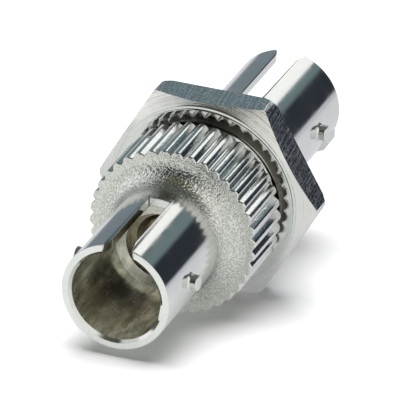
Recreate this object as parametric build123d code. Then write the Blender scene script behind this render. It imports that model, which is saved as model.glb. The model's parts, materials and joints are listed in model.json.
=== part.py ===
from build123d import *
import math
import os

# Fibre optic coupler: two bayonet sockets back to back, a knurled flange, and a hexagon nut on a
# threaded barrel that clamps it in a panel. All sizes are in millimetres.
# Every piece is drawn along the coupler's own axis: +Y runs from the front mouth to the rear mouth,
# and the key slots face +Z. The pieces are then laid down together as the coupler comes to rest.

# Whole coupler
total_length = 28.9
middle = total_length / 2

# Socket tube, the same at both ends
socket_r = 3.5
socket_bore_r = 2.9
socket_depth = 7.2
mouth_chamfer = 0.18
mouth_edge = 0.08

# Key slot in each socket
slot_width = 1.4
slot_length = 6.8
slot_mouth_width = 1.94
slot_flare_length = 1.0

# Bayonet lugs, one on each side of the slot
lug_r = 0.5
lug_top_r = 4.05
lug_angle = 86.0
lug_edge = 0.1
lug_from_mouth = 3.55

# Stub of the casting gate on each rim
gate_width = 1.2
gate_length = 1.7
front_gate_angle = 96.0
front_gate_height = 0.12
rear_gate_angle = 120.0
rear_gate_height = 0.3

# Knurled flange
flange_front = 9.3
flange_length = 4.4
knurl_crest_r = 5.47
knurl_depth = 0.28
knurl_count = 38
knurl_phase = 4.7
flange_rear_chamfer = 0.15
flange_fillet = 1.3

# Threaded barrel. Each turn of its thread is drawn as a ring
thread_r = 4.7625
thread_pitch = 0.79375
thread_depth = 0.45
thread_flat = 0.1
barrel_end = 19.5
barrel_chamfer = 0.4

# Sleeve holders, pressed into the passage between the sockets
holder_r = 2.17
holder_recess = 0.8
holder_lip = 0.7
holder_hole_r = 1.45
holder_lead_in = 0.35
holder_gap = 0.1

# Split alignment sleeve
sleeve_bore_r = 1.25
sleeve_wall = 0.35
sleeve_slit = 0.5
sleeve_float = 0.05
sleeve_end_play = 0.05

# Hexagon nut
nut_across_flats = 12.6
nut_thickness = 2.45
nut_corner_r = 7.2
nut_face_r = 5.92
nut_face_round = 0.2
nut_cone_angle = 30.0
nut_bore_chamfer = 0.3
nut_rear_corner = 0.2
nut_running_clearance = 0.05
nut_to_flange = 0.7
nut_turn = -2.6

# Cutting bodies overrun the faces they cut by this much
overrun = 1.0

flange_rear = flange_front + flange_length
nut_front = flange_rear + nut_to_flange
nut_rear = nut_front + nut_thickness
nut_bore_r = thread_r + nut_running_clearance
flat_r = nut_across_flats / 2
middle_plane = Plane(origin=(0, middle, 0), z_dir=(0, 1, 0))


def across(height):
    """Plane square to the axis, with its first direction up at +Z and its second at +X."""
    return Plane.ZX.offset(height)


def turned(*outline):
    """Solid turned about the coupler's axis from (radius, height) corners."""
    return revolve(make_face(Polyline(*outline, close=True)), Axis.Y)


def slot_cutter():
    """Key slot from the mouth at height 0, flared over its last stretch by two arcs."""
    half = slot_width / 2
    spread = (slot_mouth_width - slot_width) / 2
    flare_r = (slot_flare_length ** 2 + spread ** 2) / (2 * spread)
    sweep = math.degrees(math.asin(slot_flare_length / flare_r))
    mouth = slot_mouth_width / 2
    with BuildSketch(Plane.XY) as outline:
        with BuildLine():
            Polyline((mouth, 0), (mouth, -overrun), (-mouth, -overrun), (-mouth, 0))
            CenterArc((-half - flare_r, slot_flare_length), flare_r, 0, -sweep)
            Polyline((-half, slot_flare_length), (-half, slot_length), (half, slot_length), (half, slot_flare_length))
            CenterArc((half + flare_r, slot_flare_length), flare_r, 180, sweep)
        make_face()
    return extrude(outline.sketch, socket_r + overrun)


def socket_cutter():
    """Everything cut from a socket's mouth at height 0: bore, mouth chamfer and key slot."""
    mouth_r = socket_bore_r + mouth_chamfer
    bore = turned((0, -overrun), (mouth_r, -overrun), (mouth_r, 0), (socket_bore_r, mouth_chamfer),
                  (socket_bore_r, socket_depth), (0, socket_depth))
    return bore + slot_cutter()


def lug(angle):
    """Round bayonet lug that stands out of the tube wall."""
    inner = (socket_bore_r + socket_r) / 2
    stub = extrude(Plane.XY.offset(inner) * Circle(lug_r), lug_top_r - inner)
    stub = fillet(stub.edges().sort_by(Axis.Z)[-1], lug_edge)
    return Location((0, lug_from_mouth, 0), (0, angle, 0)) * stub


def gate_stub(angle, height):
    """Low stub of the casting gate, left on the outside of the rim."""
    inner = (socket_bore_r + socket_r) / 2
    outer = socket_r + height
    block = Pos(0, gate_length / 2 + mouth_edge, (inner + outer) / 2) * Box(gate_width, gate_length, outer - inner)
    block = chamfer(block.edges().group_by(Axis.Z)[-1], height / 2)
    return Location((0, 0, 0), (0, angle, 0)) * block


def socket_details(gate_angle, gate_height):
    """Lugs and gate stub of one socket, with its mouth at height 0."""
    return lug(lug_angle) + lug(-lug_angle) + gate_stub(gate_angle, gate_height)


def knurled_flange():
    """Flange whose rim is a ring of rounded teeth with sharp valleys, chamfered at the rear."""
    valley_r = knurl_crest_r - knurl_depth
    pitch = 360 / knurl_count

    def rim_point(radius, turn):
        angle = math.radians(knurl_phase + turn * pitch)
        return (radius * math.cos(angle), radius * math.sin(angle))

    with BuildSketch(across(flange_front)) as rim:
        with BuildLine():
            for tooth in range(knurl_count):
                ThreePointArc(rim_point(valley_r, tooth), rim_point(knurl_crest_r, tooth + 0.5),
                              rim_point(valley_r, tooth + 1))
        make_face()
    blank_r = knurl_crest_r + overrun
    blank = turned((0, flange_front), (blank_r, flange_front), (blank_r, flange_rear - flange_rear_chamfer - overrun),
                   (knurl_crest_r - flange_rear_chamfer, flange_rear), (0, flange_rear))
    return extrude(rim.sketch, flange_length) & blank


def thread_groove(height):
    """Ring with sloping walls, cut into the barrel between two crests of the thread."""
    root_r = thread_r - thread_depth
    at_root = thread_flat / 2
    at_crest = (thread_pitch - thread_flat) / 2
    return turned((root_r, height - at_root), (thread_r, height - at_crest), (thread_r + overrun, height - at_crest),
                  (thread_r + overrun, height + at_crest), (thread_r, height + at_crest), (root_r, height + at_root))


def front_housing():
    """Front socket, knurled flange and threaded barrel, cast and turned as one piece."""
    fillet_r = min(flange_fillet, knurl_crest_r - knurl_depth - socket_r - knurl_depth)
    fillet_top = socket_r + fillet_r
    inside_flange = (flange_front + flange_rear) / 2
    with BuildSketch(Plane.XY) as section:
        with BuildLine():
            Polyline((0, 0), (socket_r - mouth_edge, 0), (socket_r, mouth_edge), (socket_r, flange_front - fillet_r))
            CenterArc((fillet_top, flange_front - fillet_r), fillet_r, 180, -90)
            Polyline((fillet_top, flange_front), (fillet_top, inside_flange), (thread_r, inside_flange),
                     (thread_r, barrel_end - barrel_chamfer), (thread_r - barrel_chamfer, barrel_end),
                     (0, barrel_end), (0, 0))
        make_face()
    body = revolve(section.sketch, Axis.Y) + knurled_flange()
    body += socket_details(front_gate_angle, front_gate_height)
    passage = turned((0, socket_depth), (holder_r, socket_depth), (holder_r, middle), (socket_r, middle),
                     (socket_r, barrel_end + overrun), (0, barrel_end + overrun))
    turns = int((barrel_end - flange_rear) / thread_pitch)
    grooves = [thread_groove(flange_rear + (turn + 0.5) * thread_pitch) for turn in range(turns)]
    return body - socket_cutter() - passage - grooves


def rear_socket():
    """Rear socket tube, pressed into the barrel as far as the middle of the coupler."""
    body = turned((holder_r, middle), (socket_r - mouth_edge, middle), (socket_r, middle - mouth_edge),
                  (socket_r, mouth_edge), (socket_r - mouth_edge, 0), (holder_r, 0))
    body += socket_details(rear_gate_angle, rear_gate_height)
    return mirror(body - socket_cutter(), middle_plane)


def sleeve_holder():
    """Cup that carries one end of the alignment sleeve, with a lip that the ferrule passes through."""
    front = socket_depth + holder_recess
    cavity_r = sleeve_bore_r + sleeve_wall + sleeve_float
    end = middle - holder_gap / 2
    return turned((holder_hole_r + holder_lead_in, front), (holder_r, front), (holder_r, end), (cavity_r, end),
                  (cavity_r, front + holder_lip), (holder_hole_r, front + holder_lip),
                  (holder_hole_r, front + holder_lead_in))


def alignment_sleeve():
    """Thin split sleeve that lines up the two ferrules."""
    start = socket_depth + holder_recess + holder_lip + sleeve_end_play
    end = total_length - start
    outer_r = sleeve_bore_r + sleeve_wall
    tube = turned((sleeve_bore_r, start), (outer_r, start), (outer_r, end), (sleeve_bore_r, end))
    slit = Pos(0, middle, outer_r) * Box(sleeve_slit, total_length, 2 * outer_r)
    return tube - slit


def hex_nut():
    """Hexagon nut with a raised round face towards the flange and a cone up to its corners."""
    cone_start = nut_front + nut_face_round
    cone_r = nut_face_r + nut_face_round
    cone_end = cone_start + (nut_corner_r - cone_r) * math.tan(math.radians(nut_cone_angle))
    corner_top_r = nut_corner_r - nut_rear_corner
    with BuildSketch(Plane.XY) as section:
        with BuildLine():
            Line((nut_bore_r + nut_bore_chamfer, nut_front), (nut_face_r, nut_front))
            CenterArc((nut_face_r, cone_start), nut_face_round, -90, 90)
            Polyline((cone_r, cone_start), (nut_corner_r, cone_end), (nut_corner_r, nut_rear - nut_rear_corner),
                     (corner_top_r, nut_rear), (nut_bore_r + nut_bore_chamfer, nut_rear),
                     (nut_bore_r, nut_rear - nut_bore_chamfer), (nut_bore_r, nut_front + nut_bore_chamfer),
                     (nut_bore_r + nut_bore_chamfer, nut_front))
        make_face()
    hexagon = across(nut_front) * RegularPolygon(flat_r, 6, major_radius=False, rotation=30 + nut_turn)
    return revolve(section.sketch, Axis.Y) & extrude(hexagon, nut_thickness)


def resting_tilt():
    """Degrees that the front dips when the flange's front edge and the nut's lower flat both touch the ground."""
    cone_r = nut_face_r + nut_face_round
    nut_touch = nut_front + nut_face_round + (flat_r - cone_r) * math.tan(math.radians(nut_cone_angle))
    return math.degrees(math.atan2(flat_r - knurl_crest_r, nut_touch - flange_front))


def build():
    """All pieces by name, laid down at rest with the origin at the bottom centre of their box."""
    holder = sleeve_holder()
    pieces = {
        "front_housing": front_housing(),
        "rear_socket": rear_socket(),
        "front_sleeve_holder": holder,
        "rear_sleeve_holder": mirror(holder, middle_plane),
        "alignment_sleeve": alignment_sleeve(),
        "hex_nut": hex_nut(),
    }
    # The nut's lower flat lies level, so the whole coupler is turned back by the nut's own turn
    lean = Rot(resting_tilt(), 0, 0) * Rot(0, -nut_turn, 0)
    box = Compound([lean * piece for piece in pieces.values()]).bounding_box()
    centre = box.center()
    rest = Pos(-centre.X, -centre.Y, -box.min.Z) * lean
    print(f"tilt {resting_tilt():.4f} deg, moved by {-centre.X:.5f} {-centre.Y:.5f} {-box.min.Z:.5f}")
    return {name: rest * piece for name, piece in pieces.items()}


os.makedirs("parts", exist_ok=True)
for name, shape in build().items():
    export_step(shape, f"parts/{name}.step")
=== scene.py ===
import json
import math

import bmesh
import bpy
from bpy.props import FloatProperty, FloatVectorProperty, IntProperty, PointerProperty
from bpy.types import Operator, Panel, PropertyGroup
from mathutils import Matrix, Vector


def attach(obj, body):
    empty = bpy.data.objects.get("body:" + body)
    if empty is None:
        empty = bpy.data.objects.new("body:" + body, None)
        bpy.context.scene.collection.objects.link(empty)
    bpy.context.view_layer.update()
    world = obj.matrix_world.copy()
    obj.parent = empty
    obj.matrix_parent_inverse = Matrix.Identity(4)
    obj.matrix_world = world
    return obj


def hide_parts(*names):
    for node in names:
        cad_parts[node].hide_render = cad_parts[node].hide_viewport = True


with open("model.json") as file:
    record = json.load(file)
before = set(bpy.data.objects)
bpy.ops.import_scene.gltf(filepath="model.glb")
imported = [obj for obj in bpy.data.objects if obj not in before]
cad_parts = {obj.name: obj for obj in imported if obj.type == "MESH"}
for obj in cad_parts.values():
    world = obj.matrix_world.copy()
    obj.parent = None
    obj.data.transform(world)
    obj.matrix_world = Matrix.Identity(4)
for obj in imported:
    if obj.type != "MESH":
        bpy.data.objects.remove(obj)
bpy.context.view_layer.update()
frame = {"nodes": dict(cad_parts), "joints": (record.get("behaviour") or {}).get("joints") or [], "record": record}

bl_info = {
    "name": "Fibre Optic Coupler",
    "version": (1, 0, 0),
    "blender": (4, 5, 0),
    "location": "3D Viewport > Sidebar > Coupler",
    "description": "Dresses the packed coupler in turned, cast and plated pieces in a small studio",
    "category": "Object",
}

# The pieces are drawn in millimetres about the coupler's own axis: +Y from the front mouth to the
# rear mouth, key slots up at +Z. A turn about the axis is measured from +Z towards +X.
DRAWN_SCALE = 0.001
ROLL = math.radians(2.6)
MIDDLE = 14.45

# Points closer than the smallest length are merged. A hair keeps faces out of one plane
SMALLEST = 1e-5
HAIR = 0.01

# Fineness of the curves: columns to a tooth, steps round the axis, the turn of an arc's step, and
# the angle up to which faces are shaded as one curve
TOOTH_COLUMNS = 16
TURNED_STEPS = 240
THREAD_STEPS = 96
ENVELOPE_STEPS = 128
LUG_STEPS = 48
ARC_STEP = math.radians(9)
SMOOTH_ANGLE = math.radians(24)


def resting_place():
    """Matrix from the coupler's own axes in millimetres to the frame in metres, at rest."""
    record = frame["record"]
    axis = Vector(next(j["axis"] for j in frame["joints"] if j["name"] == "nut_travel"))
    centre = Vector(next(m["pos_m"] for m in record["mounts"] if m["name"] == "ferrule_bore"))
    tilt = math.atan2(axis.z, axis.y)
    start = centre - axis * MIDDLE * DRAWN_SCALE
    lean = Matrix.Rotation(tilt, 4, "X") @ Matrix.Rotation(ROLL, 4, "Y")
    return Matrix.Translation(start) @ lean @ Matrix.Scale(DRAWN_SCALE, 4)


REST = resting_place()


def length(name, millimetres, description):
    """Length that a user can change, stored in metres."""
    return FloatProperty(name=name, description=description, default=millimetres * DRAWN_SCALE, min=0.0,
                         unit="LENGTH", precision=5)


def angle(name, degrees, description):
    return FloatProperty(name=name, description=description, default=math.radians(degrees), subtype="ANGLE")


def colour(name, value, description):
    return FloatVectorProperty(name=name, description=description, default=value, size=3, min=0.0, max=1.0,
                               subtype="COLOR")


class CouplerSizes(PropertyGroup):
    """Lengths and turns that the pieces are drawn from."""
    total: length("Length", 28.9, "From mouth to mouth")
    tube_radius: length("Socket radius", 3.5, "Outside of both socket tubes")
    bore_radius: length("Bore radius", 2.9, "Inside of both socket tubes")
    bore_depth: length("Bore depth", 7.2, "From a mouth to the shoulder inside")
    mouth_chamfer: length("Mouth chamfer", 0.18, "Bevel inside each mouth")
    rim_round: length("Rim rounding", 0.08, "Rounding outside each mouth")
    passage_radius: length("Passage radius", 2.17, "Hole between the two shoulders")
    slot_width: length("Slot width", 1.4, "Between the slot's straight walls")
    slot_length: length("Slot length", 6.8, "From the mouth to the slot's end")
    slot_mouth: length("Slot mouth", 1.94, "Width of the slot at the mouth")
    slot_flare: length("Slot flare", 1.0, "Length of the slot's rounded entry")
    slot_edge: length("Slot edge", 0.045, "Width of the worn edge along the slot")
    lug_radius: length("Lug radius", 0.5, "Radius of the bayonet lugs")
    lug_top: length("Lug top", 4.05, "From the axis to the top of a lug")
    lug_edge: length("Lug edge", 0.09, "Rounding around the top of a lug")
    lug_foot: length("Lug foot", 0.14, "Rounding where a lug meets the tube")
    lug_turn: angle("Lug turn", 86.0, "Turn of each lug from the slot")
    lug_place: length("Lug place", 3.55, "From a mouth to its lugs")
    gate_width: length("Gate width", 1.2, "Across the stub of the casting gate")
    gate_length: length("Gate length", 1.7, "Along the stub of the casting gate")
    front_gate: length("Front gate", 0.0, "Height of the stub beside the front tube's wall")
    front_gate_turn: angle("Front gate turn", 96.0, "Turn of the front stub from the slot")
    rear_gate: length("Rear gate", 0.33, "Height of the stub beside the rear tube's wall")
    rear_gate_turn: angle("Rear gate turn", 120.0, "Turn of the rear stub from the slot")
    flange_front: length("Flange front", 9.3, "From the front mouth to the flange's face")
    flange_rear: length("Flange rear", 13.7, "From the front mouth to the flange's back")
    flange_fillet: length("Flange fillet", 1.5, "Fillet between the tube and the flange's face")
    crest_radius: length("Tooth crest", 5.47, "From the axis to the top of a tooth")
    valley_depth: length("Tooth height", 0.28, "From a tooth's top to the valley beside it")
    tooth_land: length("Tooth land", 0.15, "Half width of a tooth's nearly flat top")
    tooth_shoulder: length("Tooth shoulder", 0.05, "Softness between a tooth's top and its flanks")
    tooth_edge: length("Tooth edge", 0.1, "Rounding at the front end of the teeth")
    flange_chamfer: length("Flange chamfer", 0.18, "Rounding at the rear end of the teeth")
    teeth: IntProperty(name="Teeth", description="Teeth around the flange", default=38, min=3)
    tooth_phase: angle("Tooth phase", 4.7, "Turn of the first valley")
    thread_radius: length("Thread radius", 4.7625, "Major radius of the barrel's thread")
    thread_depth: length("Thread depth", 0.45, "From the thread's crest to its root")
    thread_pitch: length("Thread pitch", 0.79375, "From one turn of the thread to the next")
    barrel_end: length("Barrel end", 19.5, "From the front mouth to the barrel's end")
    barrel_chamfer: length("Barrel chamfer", 0.4, "Bevel at the end of the thread")
    nut_flats: length("Nut across flats", 12.6, "Between opposite flats")
    nut_front: length("Nut front", 14.4, "From the front mouth to the nut's raised face")
    nut_rear: length("Nut rear", 16.85, "From the front mouth to the nut's back")
    nut_corner: length("Nut corner radius", 7.2, "The nut's corners are turned to this radius")
    nut_face: length("Nut face radius", 5.92, "Radius of the raised round face")
    nut_step: length("Nut face step", 0.2, "Height and rounding of the raised face")
    nut_bore: length("Nut bore radius", 4.8125, "Clears the thread by a hair")
    nut_bore_chamfer: length("Nut bore chamfer", 0.3, "Bevel at both ends of the bore")
    nut_rear_edge: length("Nut rear edge", 0.2, "Bevel around the nut's back")
    nut_cone: angle("Nut cone", 30.0, "Slope of the cone down to the corners")
    nut_turn: angle("Nut turn", -2.6, "Turn of the nut on the barrel")


class CouplerColours(PropertyGroup):
    """Colours of the metals and of the studio."""
    nickel: colour("Nickel", (0.74, 0.75, 0.74), "Bright nickel plate")
    cast_nickel: colour("Cast nickel", (0.67, 0.68, 0.65), "Plate over the cast flange")
    # Painted reflection: this olive colour, over the plate's own colour, stands in for the bore's dark inside as
    # the plate mirrors it.
    shadow_nickel: colour("Bore nickel", (0.60, 0.585, 0.49), "Thin plate deep in the sockets")
    # Painted shade: the flange's back is coloured darker than its plate, for the shade in the narrow gap before
    # the nut.
    dull_nickel: colour("Dull nickel", (0.42, 0.40, 0.35), "Thin, stained plate on the flange's back")
    warm_nickel: colour("Turned nickel", (0.78, 0.775, 0.76), "Plate over the nut's turned cone")
    brushed_nickel: colour("Brushed nickel", (0.62, 0.64, 0.66), "Plate over the nut's flats")
    holder: colour("Holder", (0.50, 0.46, 0.38), "Dull plate on the sleeve holders")
    bronze: colour("Bronze", (0.40, 0.30, 0.21), "The split alignment sleeve")
    floor: colour("Floor", (0.34, 0.34, 0.34), "The studio's floor, as the metal sees it")


class Millimetres:
    """The coupler's lengths in millimetres, and its turns and counts as they are."""

    def __init__(self, sizes):
        self.sizes = sizes

    def __getattr__(self, name):
        value = getattr(self.sizes, name)
        kept = isinstance(value, int) or self.sizes.bl_rna.properties[name].subtype == "ANGLE"
        return value if kept else value / DRAWN_SCALE


# Drawing


def deselect():
    if bpy.context.object and bpy.context.object.mode != "OBJECT":
        bpy.ops.object.mode_set(mode="OBJECT")
    bpy.ops.object.select_all(action="DESELECT")


def only(piece):
    """Makes a piece the only selected object, and the active one."""
    deselect()
    piece.select_set(True)
    bpy.context.view_layer.objects.active = piece


def edit(piece, kind, wanted):
    """Enters edit mode with just those VERT, EDGE or FACE elements selected that are wanted."""
    only(piece)
    bpy.ops.object.mode_set(mode="EDIT")
    bpy.ops.mesh.select_mode(type=kind)
    bpy.ops.mesh.select_all(action="DESELECT")
    mesh = bmesh.from_edit_mesh(piece.data)
    elements = {"VERT": mesh.verts, "EDGE": mesh.edges, "FACE": mesh.faces}[kind]
    for element in elements:
        if wanted(element):
            element.select_set(True)
    mesh.select_flush_mode()
    bmesh.update_edit_mesh(piece.data)


def rounded(corners):
    """Points of a closed outline from corners of (radius, height, rounding)."""
    points = []
    for index, (radius, height, rounding) in enumerate(corners):
        here = Vector((radius, height))
        if not rounding:
            points.append(here)
            continue
        back = (Vector(corners[index - 1][:2]) - here).normalized()
        ahead = (Vector(corners[(index + 1) % len(corners)][:2]) - here).normalized()
        half = back.angle(ahead) / 2
        centre = here + (back + ahead).normalized() * rounding / math.sin(half)
        first = here + back * rounding / math.tan(half) - centre
        last = here + ahead * rounding / math.tan(half) - centre
        start = math.atan2(first.y, first.x)
        sweep = (math.atan2(last.y, last.x) - start + math.pi) % math.tau - math.pi
        steps = max(2, math.ceil(abs(sweep) / ARC_STEP))
        for step in range(steps + 1):
            turn = start + sweep * step / steps
            points.append(centre + Vector((math.cos(turn), math.sin(turn))) * rounding)
    return points


def outline(name, points, closed=True):
    """Wire through the points, extruded from one to the next in the XY plane, and left in edit mode."""
    deselect()
    bpy.ops.mesh.primitive_plane_add(size=1, location=(0, 0, 0), enter_editmode=True)
    piece = bpy.context.object
    piece.name = piece.data.name = name
    bpy.ops.mesh.select_mode(type="VERT")
    bpy.ops.mesh.merge(type="CENTER")
    bpy.ops.transform.translate(value=points[0].to_3d())
    route = points + points[:1] if closed else points
    for start, end in zip(route, route[1:]):
        bpy.ops.mesh.extrude_region_move(TRANSFORM_OT_translate={"value": (end - start).to_3d()})
    bpy.ops.mesh.select_all(action="SELECT")
    bpy.ops.mesh.remove_doubles(threshold=SMALLEST)
    return piece


def turned(name, corners, steps):
    """Closed body turned about the coupler's axis from an outline of (radius, height, rounding) corners."""
    piece = outline(name, rounded(corners))
    bpy.ops.mesh.select_all(action="SELECT")
    bpy.ops.mesh.spin(steps=steps, angle=math.tau, center=(0, 0, 0), axis=(0, 1, 0))
    bpy.ops.mesh.select_all(action="SELECT")
    bpy.ops.mesh.remove_doubles(threshold=SMALLEST)
    bpy.ops.mesh.normals_make_consistent(inside=False)
    bpy.ops.object.mode_set(mode="OBJECT")
    return piece


def settle(piece, matrix):
    """Applies a place and turn to a piece's mesh."""
    only(piece)
    piece.matrix_world = matrix
    bpy.ops.object.transform_apply(location=True, rotation=True, scale=True)
    return piece


def combine(piece, tool, operation):
    """Boolean of a piece with a tool, which is used up."""
    only(piece)
    modifier = piece.modifiers.new(operation.title(), "BOOLEAN")
    modifier.operation = operation
    modifier.solver = "EXACT"
    modifier.object = tool
    bpy.ops.object.modifier_apply(modifier=modifier.name)
    bpy.data.objects.remove(tool)
    return piece


def join(piece, others):
    """Joins closed bodies that sit in one another into one piece."""
    only(piece)
    for other in others:
        other.select_set(True)
    bpy.ops.object.join()
    return piece


def finish(piece, body):
    """Lays a drawn piece down at rest, smooths its curved faces and hands it to the frame."""
    settle(piece, REST)
    bpy.ops.object.shade_smooth_by_angle(angle=SMOOTH_ANGLE)
    weights = piece.modifiers.new("Flats stay flat", "WEIGHTED_NORMAL")
    weights.mode = "FACE_AREA"
    weights.keep_sharp = True
    bpy.ops.object.modifier_apply(modifier=weights.name)
    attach(piece, body)


def paint(piece, materials, choose):
    """Gives every face the material whose place in the list choose returns for its centre and normal."""
    for material in materials:
        piece.data.materials.append(material)
    for face in piece.data.polygons:
        face.material_index = choose(face.center, face.normal)


# Materials


def node(tree, kind, settings=None, **inputs):
    """Adds a node, with its settings and with values or sockets for its inputs."""
    made = tree.nodes.new(kind)
    for name, value in (settings or {}).items():
        setattr(made, name, value)
    for name, value in inputs.items():
        key = int(name[1:]) if name[0] == "_" else name.replace("_", " ")
        if isinstance(value, bpy.types.NodeSocket):
            tree.links.new(value, made.inputs[key])
        else:
            made.inputs[key].default_value = value
    return made


def math_node(tree, operation, *values):
    return node(tree, "ShaderNodeMath", {"operation": operation},
                **{f"_{place}": value for place, value in enumerate(values)}).outputs[0]


def ramp(tree, value, low, high, start=0.0, end=1.0):
    """Smooth change of a value between two limits."""
    made = node(tree, "ShaderNodeMapRange", {"interpolation_type": "SMOOTHSTEP"}, Value=value,
                _1=low, _2=high, _3=start, _4=end)
    return made.outputs["Result"]


def mix(tree, factor, first, second):
    """Mix of two colours."""
    return node(tree, "ShaderNodeMix", {"data_type": "RGBA"}, _0=factor, _6=first, _7=second).outputs[2]


def noise(tree, vector, scale, detail, roughness=0.5):
    """Noise over the metal, with the scale in cells to the millimetre."""
    return node(tree, "ShaderNodeTexNoise", Vector=vector, Scale=scale, Detail=detail,
                Roughness=roughness).outputs[0]


def line_noise(tree, place, scale):
    """Noise along one direction, as a tool or a brush leaves it."""
    return node(tree, "ShaderNodeTexNoise", {"noise_dimensions": "1D"}, W=place, Scale=scale, Detail=3.0,
                Roughness=0.7).outputs[0]


def group(name, values, outputs):
    """Empty shader node group with a vector input, inputs of the named values and value outputs."""
    tree = bpy.data.node_groups.new(name, "ShaderNodeTree")
    tree.interface.new_socket("Vector", in_out="INPUT", socket_type="NodeSocketVector")
    for socket, default in values.items():
        made = tree.interface.new_socket(socket, in_out="INPUT", socket_type="NodeSocketFloat")
        made.default_value = default
    for socket in outputs:
        tree.interface.new_socket(socket, in_out="OUTPUT", socket_type="NodeSocketFloat")
    return tree, tree.nodes.new("NodeGroupInput").outputs, tree.nodes.new("NodeGroupOutput").inputs


def grouped(tree, name, **inputs):
    """Adds a shader node group to a material, and returns its outputs."""
    return node(tree, "ShaderNodeGroup", {"node_tree": bpy.data.node_groups[name]}, **inputs).outputs


def coupler_vector(tree):
    """Place on the coupler in its own axes, in millimetres, read from the object's coordinates."""
    back = REST.inverted()
    place = node(tree, "ShaderNodeTexCoord").outputs["Object"]
    return node(tree, "ShaderNodeMapping", Vector=place, Location=back.to_translation(),
                Rotation=back.to_euler("XYZ"), Scale=back.to_scale()).outputs[0]


def plating_group():
    """Fine grain, slow mottling and thin spots of nickel plate."""
    tree, given, out = group("plating", {"Grain": 6.0, "Mottling": 0.6}, ("Height", "Mottle", "Spots"))
    grain = noise(tree, given["Vector"], given["Grain"], 3.0, 0.6)
    mottle = noise(tree, given["Vector"], given["Mottling"], 4.0, 0.65)
    spots = noise(tree, given["Vector"], 11.0, 2.0)
    tree.links.new(grain, out["Height"])
    tree.links.new(ramp(tree, mottle, 0.35, 0.65), out["Mottle"])
    tree.links.new(ramp(tree, spots, 0.62, 0.72), out["Spots"])


def sand_group():
    """Coarse grain of sand-cast metal under the plate, and its speckle."""
    tree, given, out = group("sand", {}, ("Height", "Speckle"))
    grain = noise(tree, given["Vector"], 7.0, 1.5, 0.6)
    dots = noise(tree, given["Vector"], 9.0, 1.0)
    tree.links.new(grain, out["Height"])
    tree.links.new(ramp(tree, dots, 0.40, 0.62), out["Speckle"])


def turning_group():
    """Rings left by the lathe, about the coupler's axis."""
    tree, given, out = group("turning_marks", {"Rings": 9.0}, ("Height",))
    level = node(tree, "ShaderNodeVectorMath", {"operation": "MULTIPLY"}, _0=given["Vector"], _1=(1, 0, 1))
    radius = node(tree, "ShaderNodeVectorMath", {"operation": "LENGTH"}, _0=level.outputs[0]).outputs["Value"]
    tree.links.new(line_noise(tree, radius, given["Rings"]), out["Height"])


def brushing_group():
    """Straight, fine scratches along the coupler's axis, broken up in places, and slow clouding."""
    tree, given, out = group("brushing", {"Scale": 1.0}, ("Height", "Dull"))
    parts = node(tree, "ShaderNodeSeparateXYZ", Vector=given["Vector"]).outputs
    round_axis = math_node(tree, "MULTIPLY", math_node(tree, "ARCTAN2", parts["X"], parts["Z"]), 8.0)
    across = math_node(tree, "ADD", round_axis, math_node(tree, "MULTIPLY", parts["Y"], 0.15))
    lines = line_noise(tree, across, math_node(tree, "MULTIPLY", given["Scale"], 5.0))
    patches = noise(tree, given["Vector"], 1.1, 2.0)
    pits = noise(tree, given["Vector"], 6.0, 2.0)
    marks = math_node(tree, "MULTIPLY", lines, ramp(tree, patches, 0.35, 0.65, 0.3, 1.0))
    tree.links.new(math_node(tree, "ADD", marks, math_node(tree, "MULTIPLY", pits, 0.5)), out["Height"])
    tree.links.new(ramp(tree, math_node(tree, "ADD", lines, pits), 0.8, 1.2), out["Dull"])


def metal(name):
    """New material with a metallic Principled shader: its tree, its shader and its places on the coupler."""
    material = bpy.data.materials.new(name)
    material.use_nodes = True
    tree = material.node_tree
    shader = tree.nodes["Principled BSDF"]
    shader.inputs["Metallic"].default_value = 1.0
    return tree, shader, coupler_vector(tree)


def feed(tree, shader, base, roughness, height, depth):
    """Links a colour, a roughness and a bump of so many metres to a material's shader."""
    tree.links.new(base, shader.inputs["Base Color"])
    tree.links.new(roughness, shader.inputs["Roughness"])
    bump = node(tree, "ShaderNodeBump", Height=height, Distance=depth, Strength=1.0)
    tree.links.new(bump.outputs[0], shader.inputs["Normal"])


def shade(value, factor):
    """A stored colour as a node's colour, made darker or lighter."""
    return (*(channel * factor for channel in value), 1.0)


def plated_tube_material(colours):
    """Bright plate of the socket tubes, which turns to cast grain towards the flange's face."""
    tree, shader, vector = metal("plated_tube")
    plate = grouped(tree, "plating", Vector=vector, Grain=5.0, Mottling=0.5)
    along = node(tree, "ShaderNodeSeparateXYZ", Vector=vector).outputs["Y"]
    cast = math_node(tree, "MULTIPLY", ramp(tree, along, 7.3, 8.3), ramp(tree, along, 9.5, 9.6, 1.0, 0.0))
    sand = grouped(tree, "sand", Vector=vector)
    height = math_node(tree, "ADD", math_node(tree, "MULTIPLY", plate["Height"], 0.03),
                       math_node(tree, "MULTIPLY", sand["Height"], cast))
    base = mix(tree, plate["Mottle"], shade(colours.nickel, 0.97), shade(colours.nickel, 1.03))
    base = mix(tree, cast, base, mix(tree, sand["Speckle"], shade(colours.cast_nickel, 0.75),
                                     shade(colours.cast_nickel, 1.12)))
    rough = ramp(tree, plate["Mottle"], 0.0, 1.0, 0.09, 0.15)
    feed(tree, shader, base, rough, height, 0.00005)


def cast_face_material(colours):
    """Sandy, sparkling plate over the cast face of the flange."""
    tree, shader, vector = metal("cast_face")
    plate = grouped(tree, "plating", Vector=vector, Grain=8.5, Mottling=0.45)
    sand = grouped(tree, "sand", Vector=vector)
    base = mix(tree, sand["Speckle"], shade(colours.cast_nickel, 0.9), shade(colours.cast_nickel, 1.1))
    rough = ramp(tree, plate["Mottle"], 0.0, 1.0, 0.11, 0.17)
    feed(tree, shader, base, rough, sand["Height"], 0.00004)


def rim_material(colours):
    """Flat rims of the sockets: satin plate with small pits."""
    tree, shader, vector = metal("rim")
    plate = grouped(tree, "plating", Vector=vector, Grain=9.0, Mottling=1.4)
    base = mix(tree, plate["Spots"], shade(colours.nickel, 1.2), shade(colours.nickel, 0.75))
    rough = ramp(tree, plate["Mottle"], 0.0, 1.0, 0.22, 0.34)
    feed(tree, shader, base, rough, plate["Height"], 0.000012)


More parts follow.
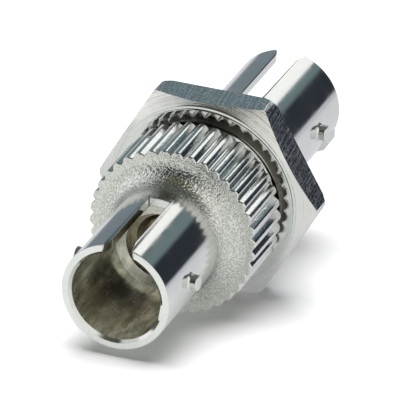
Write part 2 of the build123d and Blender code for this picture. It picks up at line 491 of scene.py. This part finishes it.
def bore_material(colours):
    """Plate inside the sockets, lightened and tinted olive, with brown streaks that are a painted reflection of
    the bore's dark inside.
    """
    tree, shader, vector = metal("bore")
    plate = grouped(tree, "plating", Vector=vector, Grain=5.0, Mottling=0.9)
    stretched = node(tree, "ShaderNodeMapping", Vector=vector, Scale=(1.3, 0.35, 1.3)).outputs[0]
    reflection_streaks = noise(tree, stretched, 1.0, 4.0, 0.6)
    # Painted reflection: the brown streaks and the lightened olive colour paint in what the bore's plate mirrors.
    base = mix(tree, ramp(tree, reflection_streaks, 0.40, 0.62), shade(colours.shadow_nickel, 0.7),
               shade(colours.shadow_nickel, 1.6))
    shader.inputs["Metallic"].default_value = 0.85
    rough = ramp(tree, plate["Mottle"], 0.0, 1.0, 0.15, 0.28)
    feed(tree, shader, base, rough, plate["Height"], 0.000008)


def tooth_material(colours):
    """Bright plate of the flange's teeth, with small dents."""
    tree, shader, vector = metal("tooth")
    plate = grouped(tree, "plating", Vector=vector, Grain=3.2, Mottling=0.5)
    base = mix(tree, plate["Mottle"], shade(colours.nickel, 0.96), shade(colours.nickel, 1.04))
    rough = ramp(tree, plate["Mottle"], 0.0, 1.0, 0.08, 0.14)
    feed(tree, shader, base, rough, plate["Height"], 0.000015)


def turned_material(name, base_colour, rings, depth, low, high):
    """Turned and plated metal: rings to the millimetre, their depth in metres and two limits of roughness."""
    tree, shader, vector = metal(name)
    plate = grouped(tree, "plating", Vector=vector, Grain=6.0, Mottling=0.6)
    turning = grouped(tree, "turning_marks", Vector=vector, Rings=rings)
    base = mix(tree, plate["Mottle"], shade(base_colour, 0.95), shade(base_colour, 1.04))
    rough = ramp(tree, plate["Mottle"], 0.0, 1.0, low, high)
    feed(tree, shader, base, rough, turning["Height"], depth)


def brushed_material(colours):
    """The nut's flats: brushed, clouded and scratched plate."""
    tree, shader, vector = metal("brushed_flat")
    brushing = grouped(tree, "brushing", Vector=vector, Scale=1.0)
    base = mix(tree, brushing["Dull"], shade(colours.brushed_nickel, 0.85),
               shade(colours.brushed_nickel, 1.35))
    rough = ramp(tree, brushing["Dull"], 0.0, 1.0, 0.16, 0.24)
    feed(tree, shader, base, rough, brushing["Height"], 0.000012)


def holder_material(colours):
    """Dull plate of the sleeve holders, darker in its pits."""
    tree, shader, vector = metal("holder_plate")
    plate = grouped(tree, "plating", Vector=vector, Grain=7.0, Mottling=1.2)
    base = mix(tree, plate["Mottle"], shade(colours.holder, 0.8), shade(colours.holder, 1.15))
    rough = ramp(tree, plate["Mottle"], 0.0, 1.0, 0.24, 0.40)
    feed(tree, shader, base, rough, plate["Height"], 0.00001)


def bronze_material(colours):
    """Satin bronze of the split sleeve, with fine drawing lines."""
    tree, shader, vector = metal("sleeve_satin")
    brushing = grouped(tree, "brushing", Vector=vector, Scale=1.3)
    base = mix(tree, brushing["Dull"], shade(colours.bronze, 0.85), shade(colours.bronze, 1.08))
    rough = ramp(tree, brushing["Dull"], 0.0, 1.0, 0.22, 0.36)
    feed(tree, shader, base, rough, brushing["Height"], 0.000008)


def make_materials(colours):
    """The node groups that the finishes share, and then the finishes."""
    for make_group in (plating_group, sand_group, turning_group, brushing_group):
        make_group()
    for make_finish in (plated_tube_material, cast_face_material, rim_material, bore_material, tooth_material,
                        brushed_material, holder_material, bronze_material):
        make_finish(colours)
    turned_material("turned_cone", colours.warm_nickel, 4.5, 0.00008, 0.10, 0.16)
    turned_material("turned_face", colours.nickel, 3.0, 0.000003, 0.07, 0.11)
    turned_material("thread_plate", colours.nickel, 3.0, 0.000004, 0.12, 0.20)
    # The flange's back: rough plate in a darker colour, as painted shade of the gap before the nut.
    turned_material("dull_back", colours.dull_nickel, 3.0, 0.00001, 0.25, 0.40)


def finishes(names):
    """The finishes of a piece, in the order of their names."""
    return [bpy.data.materials[name] for name in names]


# Pieces


def slot_cutter(mm):
    """Key slot seen from above, flared towards the mouth at height 0, as a block that cuts the tube's top."""
    half, mouth = mm.slot_width / 2, mm.slot_mouth / 2
    spread = mouth - half
    radius = (mm.slot_flare ** 2 + spread ** 2) / (2 * spread)
    sweep = math.asin(mm.slot_flare / radius)
    side = [Vector((half, mm.slot_length))]
    steps = 12
    for step in range(steps + 1):
        turn = sweep * step / steps
        side.append(Vector((half + radius * (1 - math.cos(turn)), mm.slot_flare - radius * math.sin(turn))))
    side.append(Vector((mouth, -1.0)))
    points = side + [Vector((-point.x, point.y)) for point in reversed(side)]
    piece = outline("slot_cutter", points)
    bpy.ops.mesh.edge_face_add()
    bpy.ops.transform.translate(value=(0, 0, 1.0))
    bpy.ops.mesh.extrude_region_move(TRANSFORM_OT_translate={"value": (0, 0, 4.0)})
    bpy.ops.mesh.select_all(action="SELECT")
    bpy.ops.mesh.normals_make_consistent(inside=False)
    bpy.ops.object.mode_set(mode="OBJECT")
    return piece


def cut_slot(mm, tube):
    """Cuts the key slot and breaks its edges."""
    combine(tube, slot_cutter(mm), "DIFFERENCE")
    bevel = tube.modifiers.new("Edges", "BEVEL")
    bevel.width = mm.slot_edge
    bevel.segments = 1
    bevel.limit_method = "ANGLE"
    bevel.angle_limit = math.radians(50)
    bevel.use_clamp_overlap = False
    only(tube)
    bpy.ops.object.modifier_apply(modifier=bevel.name)


def lug(mm, turn):
    """Round bayonet lug with a rounded top and a small foot where it meets the tube."""
    inner = (mm.bore_radius + mm.tube_radius) / 2
    piece = turned("lug", [
        (0, inner, 0), (mm.lug_radius + 0.16, inner, 0), (mm.lug_radius + 0.13, mm.tube_radius - 0.06, 0),
        (mm.lug_radius, mm.tube_radius + 0.09, mm.lug_foot), (mm.lug_radius, mm.lug_top, mm.lug_edge),
        (0, mm.lug_top, 0)], LUG_STEPS)
    spot = Matrix.Rotation(turn, 4, "Y") @ Matrix.Rotation(math.radians(90), 4, "X")
    return settle(piece, Matrix.Translation((0, mm.lug_place, 0)) @ spot)


def gate_stub(mm, turn, height):
    """Stub of the casting gate: a block that fills the mouth's chamfer and stands proud of the rim by a hair.
    Its upper edges are bevelled away where it stands above the tube's wall."""
    inner = mm.bore_radius + 3 * HAIR
    outer = math.sqrt(mm.tube_radius ** 2 - mm.gate_width ** 2 / 4) - 2 * HAIR + height
    deselect()
    bpy.ops.mesh.primitive_cube_add(size=1)
    piece = bpy.context.object
    piece.name = "gate_stub"
    middle = Matrix.Translation((0, mm.gate_length / 2 - HAIR, (inner + outer) / 2))
    settle(piece, middle @ Matrix.Diagonal((mm.gate_width, mm.gate_length, outer - inner, 1)))
    if height:
        edit(piece, "EDGE", lambda e: all(v.co.z > outer - HAIR for v in e.verts))
        bpy.ops.mesh.bevel(offset=height * 0.95, segments=1)
    edit(piece, "EDGE", lambda e: abs(e.verts[0].co.z - e.verts[1].co.z) > (outer - inner) / 2)
    bpy.ops.mesh.bevel(offset=mm.gate_width / 10, segments=3)
    bpy.ops.object.mode_set(mode="OBJECT")
    return settle(piece, Matrix.Rotation(turn, 4, "Y"))


def socket_details(mm, gate_turn, gate_height):
    """A socket's two lugs and the stub on its rim."""
    return [lug(mm, mm.lug_turn), lug(mm, -mm.lug_turn), gate_stub(mm, gate_turn, gate_height)]


def tooth_drop(mm, share):
    """Depth below a tooth's top, at a share of the way from its middle to the valley."""
    half = math.sin(math.pi / mm.teeth) * (mm.crest_radius - mm.valley_depth)

    def bend(aside):
        return aside - mm.tooth_land + math.hypot(aside - mm.tooth_land, mm.tooth_shoulder)

    return mm.valley_depth * (bend(share * half) - bend(0)) / (bend(half) - bend(0))


def cut_teeth(mm, blank):
    """Presses the teeth into the flange's rim, from the valleys to the tops, on both flanks at a time."""
    step = math.tau / (mm.teeth * TOOTH_COLUMNS)
    rim = mm.crest_radius - max(mm.tooth_edge, mm.flange_chamfer) - 2 * HAIR

    def column(vertex):
        turn = math.atan2(vertex.co.x, vertex.co.z) - mm.tooth_phase
        return round(turn / step) % TOOTH_COLUMNS

    for place in range(TOOTH_COLUMNS // 2):
        factor = 1 - tooth_drop(mm, 1 - 2 * place / TOOTH_COLUMNS) / mm.crest_radius
        edit(blank, "VERT", lambda v: math.hypot(v.co.x, v.co.z) > rim
             and column(v) in (place, TOOTH_COLUMNS - place))
        bpy.ops.transform.resize(value=(factor, 1, factor), center_override=(0, 0, 0))
    bpy.ops.object.mode_set(mode="OBJECT")


def draw_front_housing(mm):
    """Front socket, flange and barrel core in one body. The core ends just below the thread's roots."""
    core = mm.thread_radius - mm.thread_depth - 0.1
    corners = [
        (mm.tube_radius, 0, mm.rim_round), (mm.tube_radius, mm.flange_front, mm.flange_fillet),
        (mm.tube_radius + mm.flange_fillet + 3 * HAIR, mm.flange_front, 0),
        (mm.crest_radius, mm.flange_front, mm.tooth_edge),
        (mm.crest_radius, mm.flange_rear, mm.flange_chamfer),
        (core, mm.flange_rear, 0), (core, mm.barrel_end, 0), (mm.tube_radius, mm.barrel_end, 0),
        (mm.tube_radius, MIDDLE, 0), (mm.passage_radius, MIDDLE, 0), (mm.passage_radius, mm.bore_depth, 0.05),
        (mm.bore_radius, mm.bore_depth, 0.04), (mm.bore_radius, mm.mouth_chamfer, 0),
        (mm.bore_radius + mm.mouth_chamfer, 0, 0)]
    body = turned("front_housing_shell", corners, mm.teeth * TOOTH_COLUMNS)
    settle(body, Matrix.Rotation(mm.tooth_phase - math.radians(90), 4, "Y"))
    cut_teeth(mm, body)
    cut_slot(mm, body)
    return join(body, socket_details(mm, mm.front_gate_turn, mm.front_gate))


def paint_socket(mm, piece, rear):
    """Rim, bore, tube and flange finishes by place."""
    names = ["plated_tube", "cast_face", "rim", "bore", "tooth", "dull_back"]
    tube, face, rim, bore, tooth, back = range(len(names))
    valley = mm.crest_radius - mm.valley_depth - mm.tooth_edge - 5 * HAIR
    inside = mm.bore_radius - 10 * HAIR

    def choose(centre, normal):
        radius = math.hypot(centre.x, centre.z)
        outward = (centre.x * normal.x + centre.z * normal.z) / max(radius, SMALLEST)
        from_mouth = mm.total - centre.y if rear else centre.y
        if from_mouth < 2 * HAIR and radius < mm.tube_radius:
            return rim
        if radius < mm.bore_radius and abs(normal.y) > 0.5 and from_mouth > 1:
            return rim
        in_bore = radius < mm.bore_radius + HAIR and (outward < 0.1 or radius < inside)
        if in_bore and from_mouth > mm.mouth_chamfer:
            return bore
        if rear:
            return tube
        # The flange's back takes the darker finish, which is painted shade of the gap before the nut.
        if normal.y > 0.9 and centre.y > mm.flange_rear - HAIR:
            return back
        if radius > valley and centre.y > mm.flange_front + HAIR:
            return tooth
        if centre.y > mm.flange_front - 2 * HAIR:
            return face if centre.y < mm.flange_front + HAIR else tooth
        return tube

    paint(piece, finishes(names), choose)


def draw_barrel_thread(mm):
    """Ring that carries the barrel's thread: a zigzag wire, screwed about the axis and trimmed to length."""
    pitch, crest, root = mm.thread_pitch, mm.thread_radius, mm.thread_radius - mm.thread_depth
    start = mm.flange_rear - 2 * pitch
    slope = pitch * 3 / 8
    profile = [(crest, 0), (crest, pitch / 8), (root, pitch / 8 + slope), (root, pitch / 4 + slope),
               (crest, pitch)]
    points = [Vector((radius, start + rise)) for radius, rise in profile]
    piece = outline("barrel_thread", points, closed=False)
    bpy.ops.object.mode_set(mode="OBJECT")
    screw = piece.modifiers.new("Thread", "SCREW")
    screw.axis = "Y"
    screw.screw_offset = pitch
    screw.iterations = math.ceil((mm.barrel_end - start) / pitch) + 2
    screw.steps = screw.render_steps = THREAD_STEPS
    screw.use_merge_vertices = True
    screw.merge_threshold = SMALLEST
    only(piece)
    bpy.ops.object.modifier_apply(modifier=screw.name)
    bpy.ops.object.mode_set(mode="EDIT")
    bpy.ops.mesh.select_all(action="SELECT")
    bpy.ops.mesh.remove_doubles(threshold=1e-4)
    for height, side in ((mm.flange_rear - 0.3, -1), (mm.barrel_end + 0.3, 1)):
        bpy.ops.mesh.select_all(action="SELECT")
        bpy.ops.mesh.bisect(plane_co=(0, height, 0), plane_no=(0, side, 0), use_fill=True, clear_outer=True,
                            threshold=SMALLEST)
    bpy.ops.mesh.select_all(action="SELECT")
    bpy.ops.mesh.normals_make_consistent(inside=False)
    bpy.ops.object.mode_set(mode="OBJECT")
    margin = 4 * HAIR
    inner, outer, front = root - 0.15, crest + margin, mm.flange_rear - 5 * HAIR
    envelope = turned("barrel_envelope", [
        (inner, front, 0), (outer, front, 0), (outer, mm.barrel_end - mm.barrel_chamfer - margin, 0),
        (crest - mm.barrel_chamfer, mm.barrel_end, 0), (inner, mm.barrel_end, 0)], ENVELOPE_STEPS)
    return combine(piece, envelope, "INTERSECT")


def draw_rear_socket(mm):
    """Rear socket tube, drawn from its mouth at height 0 and then turned end for end."""
    end = mm.total - MIDDLE
    corners = [
        (mm.tube_radius, 0, mm.rim_round), (mm.tube_radius, end, mm.rim_round), (mm.passage_radius, end, 0),
        (mm.passage_radius, mm.bore_depth, 0.05), (mm.bore_radius, mm.bore_depth, 0.04),
        (mm.bore_radius, mm.mouth_chamfer, 0), (mm.bore_radius + mm.mouth_chamfer, 0, 0)]
    body = turned("rear_socket_shell", corners, TURNED_STEPS)
    cut_slot(mm, body)
    join(body, socket_details(mm, mm.rear_gate_turn, mm.rear_gate))
    settle(body, Matrix.Translation((0, mm.total, 0)) @ Matrix.Diagonal((1, -1, 1, 1)))
    only(body)
    bpy.ops.object.mode_set(mode="EDIT")
    bpy.ops.mesh.select_all(action="SELECT")
    bpy.ops.mesh.normals_make_consistent(inside=False)
    bpy.ops.object.mode_set(mode="OBJECT")
    return body


def draw_hex_nut(mm):
    """Turned blank of the nut, with its raised face, grooves and cone, cut down to a hexagon."""
    cone_start = mm.nut_front + mm.nut_step
    cone_radius = mm.nut_face + mm.nut_step
    cone_end = cone_start + (mm.nut_corner - cone_radius) * math.tan(mm.nut_cone)
    bore_edge = mm.nut_bore + mm.nut_bore_chamfer
    face, front, rear = mm.nut_face, mm.nut_front, mm.nut_rear
    ring_between_grooves = [
        (face + 0.01, front + 0.13, 0), (face + 0.04, front + 0.13, 0), (face + 0.05, front + 0.08, 0),
        (face + 0.16, front + 0.11, 0), (face + 0.17, front + 0.18, 0)]
    corners = [
        (bore_edge, front, 0), (face - 3 * HAIR, front, 0), (face, front + 3 * HAIR, 0),
        *ring_between_grooves, (cone_radius, cone_start, 0), (mm.nut_corner, cone_end, 3 * HAIR),
        (mm.nut_corner, rear - mm.nut_rear_edge, 0), (mm.nut_corner - mm.nut_rear_edge, rear, 0),
        (bore_edge, rear, 0), (mm.nut_bore, rear - mm.nut_bore_chamfer, 0),
        (mm.nut_bore, front + mm.nut_bore_chamfer, 0)]
    blank = turned("hex_nut_plated", corners, TURNED_STEPS)
    deselect()
    reach = mm.nut_flats / 2 / math.cos(math.radians(30))
    bpy.ops.mesh.primitive_cylinder_add(vertices=6, radius=reach, depth=6)
    hexagon = bpy.context.object
    middle = (front + rear) / 2
    turn = Matrix.Rotation(mm.nut_turn + math.radians(30), 4, "Y") @ Matrix.Rotation(math.radians(90), 4, "X")
    settle(hexagon, Matrix.Translation((0, middle, 0)) @ turn)
    edit(hexagon, "EDGE", lambda e: abs(e.verts[0].co.y - e.verts[1].co.y) > 1)
    bpy.ops.mesh.bevel(offset=4 * HAIR, segments=2)
    bpy.ops.object.mode_set(mode="OBJECT")
    return combine(blank, hexagon, "INTERSECT")


def paint_nut(mm, piece):
    """Raised face, cone and flats of the nut by place."""
    names = ["turned_face", "turned_cone", "brushed_flat", "thread_plate"]
    face, cone, flat, bore = range(len(names))
    cone_start = mm.nut_front + mm.nut_step

    def choose(centre, normal):
        radius = math.hypot(centre.x, centre.z)
        outward = (centre.x * normal.x + centre.z * normal.z) / radius
        if radius < mm.nut_bore + 5 * HAIR:
            return bore
        if centre.y > mm.nut_rear - mm.nut_rear_edge - 5 * HAIR and normal.y > 0.5:
            return cone
        if normal.y < -0.5 and centre.y > cone_start + HAIR / 2:
            return cone
        if outward > 0.9 and radius > mm.nut_face + 10 * HAIR:
            return flat
        return face

    paint(piece, finishes(names), choose)


class COUPLER_OT_front_housing(Operator):
    """Draw the front socket, the knurled flange and the threaded barrel"""
    bl_idname = "coupler.front_housing"
    bl_label = "Front Housing"

    def execute(self, context):
        mm = Millimetres(context.scene.coupler_sizes)
        body = draw_front_housing(mm)
        paint_socket(mm, body, rear=False)
        finish(body, "coupler")
        thread = draw_barrel_thread(mm)
        paint(thread, finishes(["thread_plate"]), lambda centre, normal: 0)
        finish(thread, "coupler")
        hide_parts("front_housing")
        return {"FINISHED"}


class COUPLER_OT_rear_socket(Operator):
    """Draw the rear socket tube"""
    bl_idname = "coupler.rear_socket"
    bl_label = "Rear Socket"

    def execute(self, context):
        mm = Millimetres(context.scene.coupler_sizes)
        body = draw_rear_socket(mm)
        paint_socket(mm, body, rear=True)
        finish(body, "coupler")
        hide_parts("rear_socket")
        return {"FINISHED"}


class COUPLER_OT_hex_nut(Operator):
    """Draw the hexagon nut"""
    bl_idname = "coupler.hex_nut"
    bl_label = "Hexagon Nut"

    def execute(self, context):
        mm = Millimetres(context.scene.coupler_sizes)
        nut = draw_hex_nut(mm)
        paint_nut(mm, nut)
        finish(nut, "nut")
        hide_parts("hex_nut")
        return {"FINISHED"}


class COUPLER_OT_sleeve(Operator):
    """Finish the alignment sleeve and its two holders"""
    bl_idname = "coupler.sleeve"
    bl_label = "Sleeve and Holders"

    def execute(self, context):
        chosen = {"front_sleeve_holder": "holder_plate", "rear_sleeve_holder": "holder_plate",
                  "alignment_sleeve": "sleeve_satin"}
        for name, material in chosen.items():
            piece = frame["nodes"][name]
            piece.data.materials.clear()
            piece.data.materials.append(bpy.data.materials[material])
        return {"FINISHED"}


# Stage

# Camera in the coupler's own axes: its place in millimetres and the directions of its right, down and view
CAMERA_PLACE = (173.3, -466.8, 273.2)
CAMERA_RIGHT = (0.92814, 0.36775, 0.05841)
CAMERA_DOWN = (0.22185, -0.42006, -0.87995)
CAMERA_VIEW = (-0.29907, 0.82963, -0.47143)
FOCAL_PIXELS = 9423.4
IMAGE_PIXELS = 400

# Reflectors of the studio, seen from the coupler: azimuth from the rear towards the right and elevation
# in degrees, half width and half height as tangents, softness, colour and strength. A later one hides
# an earlier one
REFLECTORS = [
    ("left_wall_top", -108, 28, 0.55, 0.36, 0.10, (0.97, 1.0, 1.0), 0.75),
    ("left_wall", -116, 6, 0.62, 0.30, 0.05, (1.0, 1.0, 1.0), 1.1),
    ("right_wall", 85, 14, 0.55, 0.31, 0.08, (1.0, 1.0, 0.97), 0.95),
    ("front_right_wall", 133, 28, 0.73, 0.53, 0.10, (1.0, 0.99, 0.95), 0.95),
    ("front_dark", 194, 22, 0.38, 0.50, 0.07, (0.045, 0.050, 0.045), 1.0),
    ("rear_left_slate", -42, 16, 0.75, 0.28, 0.08, (0.30, 0.36, 0.41), 0.70),
    ("rear_teal", 0, 38, 0.75, 0.12, 0.03, (0.22, 0.30, 0.315), 0.80),
    ("rear_right_navy", 35, 17, 0.34, 0.25, 0.05, (0.030, 0.036, 0.046), 1.0),
    ("strip", 2, 44, 0.20, 0.18, 0.02, (1.0, 1.0, 0.98), 1.2),
]

# What is left between the reflectors: the dome's front and rear, and the skyline over the floor's edge
DOME_FRONT = (0.13, 0.125, 0.085, 1)
DOME_REAR = (0.13, 0.15, 0.16, 1)
SKYLINE = (0.74, 0.74, 0.80, 1)
WHITE = (1, 1, 1, 1)

# Glow of the floor: in front of and behind the coupler as the metal sees it, and as the camera sees it
GLOW_FRONT = (0.41, 0.43, 0.40, 1)
GLOW_REAR = (0.32, 0.32, 0.35, 1)
GLOW_SEEN = (0.035, 0.035, 0.035, 1)

# Overhead lamp: azimuth and elevation in degrees, distance and side in metres, power in watts
KEY_LAMP = (-60, 85, 0.6, 0.6, 6.2)


def towards(azimuth, elevation):
    """Direction from the coupler, from an azimuth and an elevation in degrees."""
    across, up = math.radians(azimuth), math.radians(elevation)
    return Vector((math.sin(across) * math.cos(up), math.cos(across) * math.cos(up), math.sin(up)))


def make_camera(context):
    """Camera at the photograph's place, taken from a fit to the coupler's rims, flange and nut."""
    turn = REST.to_3x3().normalized()
    data = bpy.data.cameras.new("camera")
    data.sensor_width = 36.0
    data.lens = FOCAL_PIXELS / IMAGE_PIXELS * data.sensor_width
    data.clip_start, data.clip_end = 0.01, 20
    camera = bpy.data.objects.new("camera", data)
    context.collection.objects.link(camera)
    axes = [turn @ Vector(CAMERA_RIGHT), -(turn @ Vector(CAMERA_DOWN)), -(turn @ Vector(CAMERA_VIEW))]
    camera.matrix_world = Matrix.Translation(REST @ Vector(CAMERA_PLACE)) @ Matrix(axes).transposed().to_4x4()
    context.scene.camera = camera


def reflector_group():
    """Mask of a soft-edged rectangle ahead of the vector's third axis."""
    tree, given, out = group("reflector", {"Half width": 0.3, "Half height": 0.3, "Softness": 0.1}, ("Mask",))
    parts = node(tree, "ShaderNodeSeparateXYZ", Vector=given["Vector"]).outputs
    ahead = math_node(tree, "MAXIMUM", parts["Z"], 0.001)
    masks = []
    for part, half in (("X", "Half width"), ("Y", "Half height")):
        off = math_node(tree, "ABSOLUTE", math_node(tree, "DIVIDE", parts[part], ahead))
        low = math_node(tree, "SUBTRACT", given[half], given["Softness"])
        high = math_node(tree, "ADD", given[half], given["Softness"])
        masks.append(ramp(tree, off, low, high, 1.0, 0.0))
    tree.links.new(math_node(tree, "MULTIPLY", *masks), out["Mask"])


def make_world(context):
    """Studio round the coupler: white softboxes with dark and tinted reflectors between them."""
    world = bpy.data.worlds.new("studio")
    world.use_nodes = True
    context.scene.world = world
    world.cycles_visibility.diffuse = False
    tree = world.node_tree
    reflector_group()
    direction = node(tree, "ShaderNodeTexCoord").outputs["Generated"]
    parts = node(tree, "ShaderNodeSeparateXYZ", Vector=direction).outputs
    dome = mix(tree, ramp(tree, parts["Y"], -0.4, 0.4), DOME_FRONT, DOME_REAR)
    light = mix(tree, ramp(tree, parts["Z"], 0.02, 0.09), SKYLINE, dome)
    for name, azimuth, elevation, half_width, half_height, softness, tint, strength in REFLECTORS:
        ahead, right = towards(azimuth, elevation), towards(azimuth + 90, 0)
        turn = Matrix((right, ahead.cross(right), ahead))
        vector = node(tree, "ShaderNodeMapping", {"vector_type": "VECTOR", "label": name}, Vector=direction,
                      Rotation=turn.to_euler("XYZ")).outputs[0]
        mask = grouped(tree, "reflector", Vector=vector, Half_width=half_width, Half_height=half_height,
                       Softness=softness)["Mask"]
        light = mix(tree, mask, light, (*(channel * strength for channel in tint), 1))
    seen = node(tree, "ShaderNodeLightPath").outputs["Is Camera Ray"]
    light = mix(tree, seen, light, WHITE)
    tree.links.new(light, tree.nodes["Background"].inputs["Color"])


def make_key_lamp(context):
    """Overhead lamp that lays the soft shadow, and that the plate doesn't mirror."""
    azimuth, elevation, distance, side, power = KEY_LAMP
    ahead = towards(azimuth, elevation)
    data = bpy.data.lights.new("key_lamp", "AREA")
    data.energy, data.size = power, side
    lamp = bpy.data.objects.new("key_lamp", data)
    context.collection.objects.link(lamp)
    lamp.location = ahead * distance
    lamp.rotation_euler = ahead.to_track_quat("Z", "Y").to_euler()
    lamp.visible_glossy = False


def make_floor(colours):
    """Pale floor that keeps the coupler's shadow and is white to the camera where it is lit."""
    deselect()
    bpy.ops.mesh.primitive_plane_add(size=3.0, location=(0, 0, 0))
    floor = bpy.context.object
    floor.name = "floor"
    material = bpy.data.materials.new("floor_paper")
    material.use_nodes = True
    tree = material.node_tree
    shader = tree.nodes["Principled BSDF"]
    shader.inputs["Roughness"].default_value = 0.9
    shader.inputs["Specular IOR Level"].default_value = 0.2
    rays = node(tree, "ShaderNodeLightPath").outputs
    seen = rays["Is Camera Ray"]
    tree.links.new(mix(tree, seen, shade(colours.floor, 1.0), WHITE), shader.inputs["Base Color"])
    place = node(tree, "ShaderNodeTexCoord").outputs["Object"]
    along = node(tree, "ShaderNodeSeparateXYZ", Vector=place).outputs["Y"]
    mirrored = mix(tree, ramp(tree, along, -0.01, 0.01), GLOW_FRONT, GLOW_REAR)
    glow = mix(tree, rays["Is Glossy Ray"], GLOW_SEEN, mirrored)
    tree.links.new(glow, shader.inputs["Emission Color"])
    strength = math_node(tree, "MAXIMUM", seen, rays["Is Glossy Ray"])
    tree.links.new(strength, shader.inputs["Emission Strength"])
    material.cycles.emission_sampling = "NONE"
    floor.data.materials.append(material)


class COUPLER_OT_stage(Operator):
    """Lay the floor, light the studio and set up the camera"""
    bl_idname = "coupler.stage"
    bl_label = "Stage"

    def execute(self, context):
        make_floor(context.scene.coupler_colours)
        make_world(context)
        make_key_lamp(context)
        make_camera(context)
        context.scene.view_settings.view_transform = "Standard"
        return {"FINISHED"}


class COUPLER_OT_finishes(Operator):
    """Make the finishes that the pieces share"""
    bl_idname = "coupler.finishes"
    bl_label = "Finishes"

    def execute(self, context):
        make_materials(context.scene.coupler_colours)
        return {"FINISHED"}


STEPS = (COUPLER_OT_finishes, COUPLER_OT_front_housing, COUPLER_OT_rear_socket, COUPLER_OT_hex_nut,
         COUPLER_OT_sleeve, COUPLER_OT_stage)


class COUPLER_PT_panel(Panel):
    """The coupler's sizes, colours and pieces"""
    bl_idname = "COUPLER_PT_panel"
    bl_label = "Fibre Optic Coupler"
    bl_space_type = "VIEW_3D"
    bl_region_type = "UI"
    bl_category = "Coupler"

    def draw(self, context):
        column = self.layout.column(align=True)
        for step in STEPS:
            column.operator(step.bl_idname)
        for properties in (context.scene.coupler_sizes, context.scene.coupler_colours):
            box = self.layout.box().column(align=True)
            for name in properties.__annotations__:
                box.prop(properties, name)


CLASSES = (CouplerSizes, CouplerColours, *STEPS, COUPLER_PT_panel)


def register():
    for made in CLASSES:
        bpy.utils.register_class(made)
    bpy.types.Scene.coupler_sizes = PointerProperty(type=CouplerSizes)
    bpy.types.Scene.coupler_colours = PointerProperty(type=CouplerColours)


def unregister():
    del bpy.types.Scene.coupler_sizes
    del bpy.types.Scene.coupler_colours
    for made in reversed(CLASSES):
        bpy.utils.unregister_class(made)


def main():
    register()
    bpy.ops.coupler.finishes()
    bpy.ops.coupler.front_housing()
    bpy.ops.coupler.rear_socket()
    bpy.ops.coupler.hex_nut()
    bpy.ops.coupler.sleeve()
    bpy.ops.coupler.stage()


if __name__ == "__main__":
    main()
